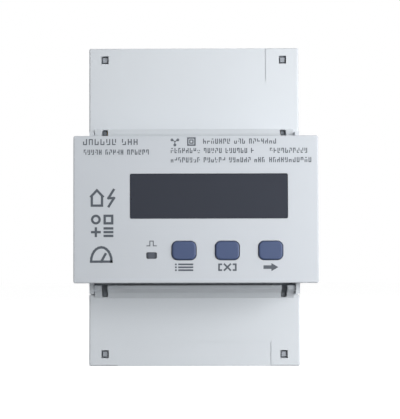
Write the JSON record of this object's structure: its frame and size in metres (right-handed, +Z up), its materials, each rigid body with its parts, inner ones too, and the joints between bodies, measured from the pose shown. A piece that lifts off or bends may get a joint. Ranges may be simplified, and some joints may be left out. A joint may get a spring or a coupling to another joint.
{
  "type": "smart electric meter",
  "caption": "Rail-mounted three-phase electricity meter with a raised display panel, push buttons, hinged terminal covers, screw terminals and a sprung rail latch.",
  "frame": {"origin": "centre of the rail seat, on the plane of the rail's front face", "axes": "+X to the right as seen from the front, +Y towards the rail, +Z up"},
  "size_m": [0.072, 0.0661, 0.1],
  "materials": {
    "housing_plastic": "fine matte moulding, light grey",
    "front_plastic": "fine matte moulding, light grey",
    "cover_plastic": "fine matte moulding, light grey",
    "terminal_plastic": "fine matte moulding, mid grey",
    "smoked_window": "polished, smoked",
    "display_glass": "polished",
    "frame_plastic": "matte white",
    "button_plastic": "satin, slate blue",
    "lens_plastic": "satin, smoky",
    "board_laminate": "solder mask, satin green",
    "chip_epoxy": "matte black",
    "component_mix": "satin sleeves",
    "winding_tape": "taped winding",
    "ring_epoxy": "matte blue epoxy",
    "plated_steel": "zinc plated",
    "dark_steel": "zinc plated, darker",
    "spring_steel": "drawn wire",
    "bar_brass": "rolled",
    "latch_plastic": "matte, dark grey",
    "pin_metal": "tinned"
  },
  "bodies": {
    "root": {"base_housing": "housing_plastic", "block_screws": "plated_steel", "board_chips": "chip_epoxy", "board_header": "pin_metal", "board_screws": "plated_steel", "bottom_terminal_block": "terminal_plastic", "capacitors": "component_mix", "current_transformers": "ring_epoxy", "display_window": "smoked_window", "front_cover": "front_plastic", "latch_spring": "spring_steel", "lcd_frame": "frame_plastic", "lcd_glass": "display_glass", "main_board": "board_laminate", "phase_busbars": "bar_brass", "power_board": "board_laminate", "pulse_lens": "lens_plastic", "signal_contacts": "bar_brass", "signal_terminal_block": "terminal_plastic", "supply_transformer": "winding_tape", "tact_switches": "dark_steel", "top_terminal_block": "terminal_plastic"},
    "bottom_clamp_1": {"bottom_clamp_1": "dark_steel"},
    "bottom_clamp_2": {"bottom_clamp_2": "dark_steel"},
    "bottom_clamp_3": {"bottom_clamp_3": "dark_steel"},
    "bottom_clamp_4": {"bottom_clamp_4": "dark_steel"},
    "bottom_screw_1": {"bottom_screw_1": "plated_steel"},
    "bottom_screw_2": {"bottom_screw_2": "plated_steel"},
    "bottom_screw_3": {"bottom_screw_3": "plated_steel"},
    "bottom_screw_4": {"bottom_screw_4": "plated_steel"},
    "bottom_terminal_cover": {"bottom_terminal_cover": "cover_plastic"},
    "left_button": {"left_button": "button_plastic"},
    "middle_button": {"middle_button": "button_plastic"},
    "rail_latch": {"rail_latch": "latch_plastic"},
    "right_button": {"right_button": "button_plastic"},
    "signal_clamp_1": {"signal_clamp_1": "dark_steel"},
    "signal_clamp_2": {"signal_clamp_2": "dark_steel"},
    "signal_clamp_3": {"signal_clamp_3": "dark_steel"},
    "signal_clamp_4": {"signal_clamp_4": "dark_steel"},
    "signal_clamp_5": {"signal_clamp_5": "dark_steel"},
    "signal_clamp_6": {"signal_clamp_6": "dark_steel"},
    "signal_clamp_7": {"signal_clamp_7": "dark_steel"},
    "signal_clamp_8": {"signal_clamp_8": "dark_steel"},
    "signal_screw_1": {"signal_screw_1": "plated_steel"},
    "signal_screw_2": {"signal_screw_2": "plated_steel"},
    "signal_screw_3": {"signal_screw_3": "plated_steel"},
    "signal_screw_4": {"signal_screw_4": "plated_steel"},
    "signal_screw_5": {"signal_screw_5": "plated_steel"},
    "signal_screw_6": {"signal_screw_6": "plated_steel"},
    "signal_screw_7": {"signal_screw_7": "plated_steel"},
    "signal_screw_8": {"signal_screw_8": "plated_steel"},
    "top_clamp_1": {"top_clamp_1": "dark_steel"},
    "top_clamp_2": {"top_clamp_2": "dark_steel"},
    "top_clamp_3": {"top_clamp_3": "dark_steel"},
    "top_clamp_4": {"top_clamp_4": "dark_steel"},
    "top_screw_1": {"top_screw_1": "plated_steel"},
    "top_screw_2": {"top_screw_2": "plated_steel"},
    "top_screw_3": {"top_screw_3": "plated_steel"},
    "top_screw_4": {"top_screw_4": "plated_steel"},
    "top_terminal_cover": {"top_terminal_cover": "cover_plastic"}
  },
  "joints": [
    {"name": "left_button_press", "type": "slide", "parent": "root", "child": "left_button", "axis": [0, 1, 0], "range_m": [0, 0.0006], "stiffness_N_per_m": 1500, "springref_m": -0.0002},
    {"name": "middle_button_press", "type": "slide", "parent": "root", "child": "middle_button", "axis": [0, 1, 0], "range_m": [0, 0.0006], "stiffness_N_per_m": 1500, "springref_m": -0.0002},
    {"name": "right_button_press", "type": "slide", "parent": "root", "child": "right_button", "axis": [0, 1, 0], "range_m": [0, 0.0006], "stiffness_N_per_m": 1500, "springref_m": -0.0002},
    {"name": "top_cover_hinge", "type": "hinge", "parent": "root", "child": "top_terminal_cover", "pos_m": [0, -0.042, 0.0237], "axis": [1, 0, 0], "range_deg": [0, 90]},
    {"name": "bottom_cover_hinge", "type": "hinge", "parent": "root", "child": "bottom_terminal_cover", "pos_m": [0, -0.042, -0.0237], "axis": [-1, 0, 0], "range_deg": [0, 90]},
    {"name": "rail_latch_slide", "type": "slide", "parent": "root", "child": "rail_latch", "axis": [0, 0, -1], "range_m": [0, 0.0045], "stiffness_N_per_m": 1500, "springref_m": -0.002, "deforming": ["latch_spring"]},
    {"name": "top_screw_1_turn", "type": "hinge", "parent": "root", "child": "top_screw_1", "pos_m": [-0.02332, -0.03, 0.031], "axis": [0, 1, 0], "range_deg": [0, 2701]},
    {"name": "top_clamp_1_rise", "type": "slide", "parent": "root", "child": "top_clamp_1", "axis": [0, -1, 0], "range_m": [0, 0.006]},
    {"name": "bottom_screw_1_turn", "type": "hinge", "parent": "root", "child": "bottom_screw_1", "pos_m": [-0.02332, -0.03, -0.031], "axis": [0, 1, 0], "range_deg": [0, 2701]},
    {"name": "bottom_clamp_1_rise", "type": "slide", "parent": "root", "child": "bottom_clamp_1", "axis": [0, -1, 0], "range_m": [0, 0.006]},
    {"name": "top_screw_2_turn", "type": "hinge", "parent": "root", "child": "top_screw_2", "pos_m": [-0.00777, -0.03, 0.031], "axis": [0, 1, 0], "range_deg": [0, 2701]},
    {"name": "top_clamp_2_rise", "type": "slide", "parent": "root", "child": "top_clamp_2", "axis": [0, -1, 0], "range_m": [0, 0.006]},
    {"name": "bottom_screw_2_turn", "type": "hinge", "parent": "root", "child": "bottom_screw_2", "pos_m": [-0.00777, -0.03, -0.031], "axis": [0, 1, 0], "range_deg": [0, 2701]},
    {"name": "bottom_clamp_2_rise", "type": "slide", "parent": "root", "child": "bottom_clamp_2", "axis": [0, -1, 0], "range_m": [0, 0.006]},
    {"name": "top_screw_3_turn", "type": "hinge", "parent": "root", "child": "top_screw_3", "pos_m": [0.00777, -0.03, 0.031], "axis": [0, 1, 0], "range_deg": [0, 2701]},
    {"name": "top_clamp_3_rise", "type": "slide", "parent": "root", "child": "top_clamp_3", "axis": [0, -1, 0], "range_m": [0, 0.006]},
    {"name": "bottom_screw_3_turn", "type": "hinge", "parent": "root", "child": "bottom_screw_3", "pos_m": [0.00777, -0.03, -0.031], "axis": [0, 1, 0], "range_deg": [0, 2701]},
    {"name": "bottom_clamp_3_rise", "type": "slide", "parent": "root", "child": "bottom_clamp_3", "axis": [0, -1, 0], "range_m": [0, 0.006]},
    {"name": "top_screw_4_turn", "type": "hinge", "parent": "root", "child": "top_screw_4", "pos_m": [0.02332, -0.03, 0.031], "axis": [0, 1, 0], "range_deg": [0, 2701]},
    {"name": "top_clamp_4_rise", "type": "slide", "parent": "root", "child": "top_clamp_4", "axis": [0, -1, 0], "range_m": [0, 0.006]},
    {"name": "bottom_screw_4_turn", "type": "hinge", "parent": "root", "child": "bottom_screw_4", "pos_m": [0.02332, -0.03, -0.031], "axis": [0, 1, 0], "range_deg": [0, 2701]},
    {"name": "bottom_clamp_4_rise", "type": "slide", "parent": "root", "child": "bottom_clamp_4", "axis": [0, -1, 0], "range_m": [0, 0.006]},
    {"name": "signal_screw_1_turn", "type": "hinge", "parent": "root", "child": "signal_screw_1", "pos_m": [-0.02721, -0.03, 0.0448], "axis": [0, 1, 0], "range_deg": [0, 1729]},
    {"name": "signal_clamp_1_rise", "type": "slide", "parent": "root", "child": "signal_clamp_1", "axis": [0, -1, 0], "range_m": [0, 0.0024]},
    {"name": "signal_screw_2_turn", "type": "hinge", "parent": "root", "child": "signal_screw_2", "pos_m": [-0.01944, -0.03, 0.0448], "axis": [0, 1, 0], "range_deg": [0, 1729]},
    {"name": "signal_clamp_2_rise", "type": "slide", "parent": "root", "child": "signal_clamp_2", "axis": [0, -1, 0], "range_m": [0, 0.0024]},
    {"name": "signal_screw_3_turn", "type": "hinge", "parent": "root", "child": "signal_screw_3", "pos_m": [-0.01166, -0.03, 0.0448], "axis": [0, 1, 0], "range_deg": [0, 1729]},
    {"name": "signal_clamp_3_rise", "type": "slide", "parent": "root", "child": "signal_clamp_3", "axis": [0, -1, 0], "range_m": [0, 0.0024]},
    {"name": "signal_screw_4_turn", "type": "hinge", "parent": "root", "child": "signal_screw_4", "pos_m": [-0.00389, -0.03, 0.0448], "axis": [0, 1, 0], "range_deg": [0, 1729]},
    {"name": "signal_clamp_4_rise", "type": "slide", "parent": "root", "child": "signal_clamp_4", "axis": [0, -1, 0], "range_m": [0, 0.0024]},
    {"name": "signal_screw_5_turn", "type": "hinge", "parent": "root", "child": "signal_screw_5", "pos_m": [0.00389, -0.03, 0.0448], "axis": [0, 1, 0], "range_deg": [0, 1729]},
    {"name": "signal_clamp_5_rise", "type": "slide", "parent": "root", "child": "signal_clamp_5", "axis": [0, -1, 0], "range_m": [0, 0.0024]},
    {"name": "signal_screw_6_turn", "type": "hinge", "parent": "root", "child": "signal_screw_6", "pos_m": [0.01166, -0.03, 0.0448], "axis": [0, 1, 0], "range_deg": [0, 1729]},
    {"name": "signal_clamp_6_rise", "type": "slide", "parent": "root", "child": "signal_clamp_6", "axis": [0, -1, 0], "range_m": [0, 0.0024]},
    {"name": "signal_screw_7_turn", "type": "hinge", "parent": "root", "child": "signal_screw_7", "pos_m": [0.01944, -0.03, 0.0448], "axis": [0, 1, 0], "range_deg": [0, 1729]},
    {"name": "signal_clamp_7_rise", "type": "slide", "parent": "root", "child": "signal_clamp_7", "axis": [0, -1, 0], "range_m": [0, 0.0024]},
    {"name": "signal_screw_8_turn", "type": "hinge", "parent": "root", "child": "signal_screw_8", "pos_m": [0.02721, -0.03, 0.0448], "axis": [0, 1, 0], "range_deg": [0, 1729]},
    {"name": "signal_clamp_8_rise", "type": "slide", "parent": "root", "child": "signal_clamp_8", "axis": [0, -1, 0], "range_m": [0, 0.0024]}
  ],
  "couplings": [
    {"joint": "top_screw_1_turn", "follows": "top_clamp_1_rise", "rad_per_m": 7854},
    {"joint": "bottom_screw_1_turn", "follows": "bottom_clamp_1_rise", "rad_per_m": 7854},
    {"joint": "top_screw_2_turn", "follows": "top_clamp_2_rise", "rad_per_m": 7854},
    {"joint": "bottom_screw_2_turn", "follows": "bottom_clamp_2_rise", "rad_per_m": 7854},
    {"joint": "top_screw_3_turn", "follows": "top_clamp_3_rise", "rad_per_m": 7854},
    {"joint": "bottom_screw_3_turn", "follows": "bottom_clamp_3_rise", "rad_per_m": 7854},
    {"joint": "top_screw_4_turn", "follows": "top_clamp_4_rise", "rad_per_m": 7854},
    {"joint": "bottom_screw_4_turn", "follows": "bottom_clamp_4_rise", "rad_per_m": 7854},
    {"joint": "signal_screw_1_turn", "follows": "signal_clamp_1_rise", "rad_per_m": 12566},
    {"joint": "signal_screw_2_turn", "follows": "signal_clamp_2_rise", "rad_per_m": 12566},
    {"joint": "signal_screw_3_turn", "follows": "signal_clamp_3_rise", "rad_per_m": 12566},
    {"joint": "signal_screw_4_turn", "follows": "signal_clamp_4_rise", "rad_per_m": 12566},
    {"joint": "signal_screw_5_turn", "follows": "signal_clamp_5_rise", "rad_per_m": 12566},
    {"joint": "signal_screw_6_turn", "follows": "signal_clamp_6_rise", "rad_per_m": 12566},
    {"joint": "signal_screw_7_turn", "follows": "signal_clamp_7_rise", "rad_per_m": 12566},
    {"joint": "signal_screw_8_turn", "follows": "signal_clamp_8_rise", "rad_per_m": 12566}
  ]
}
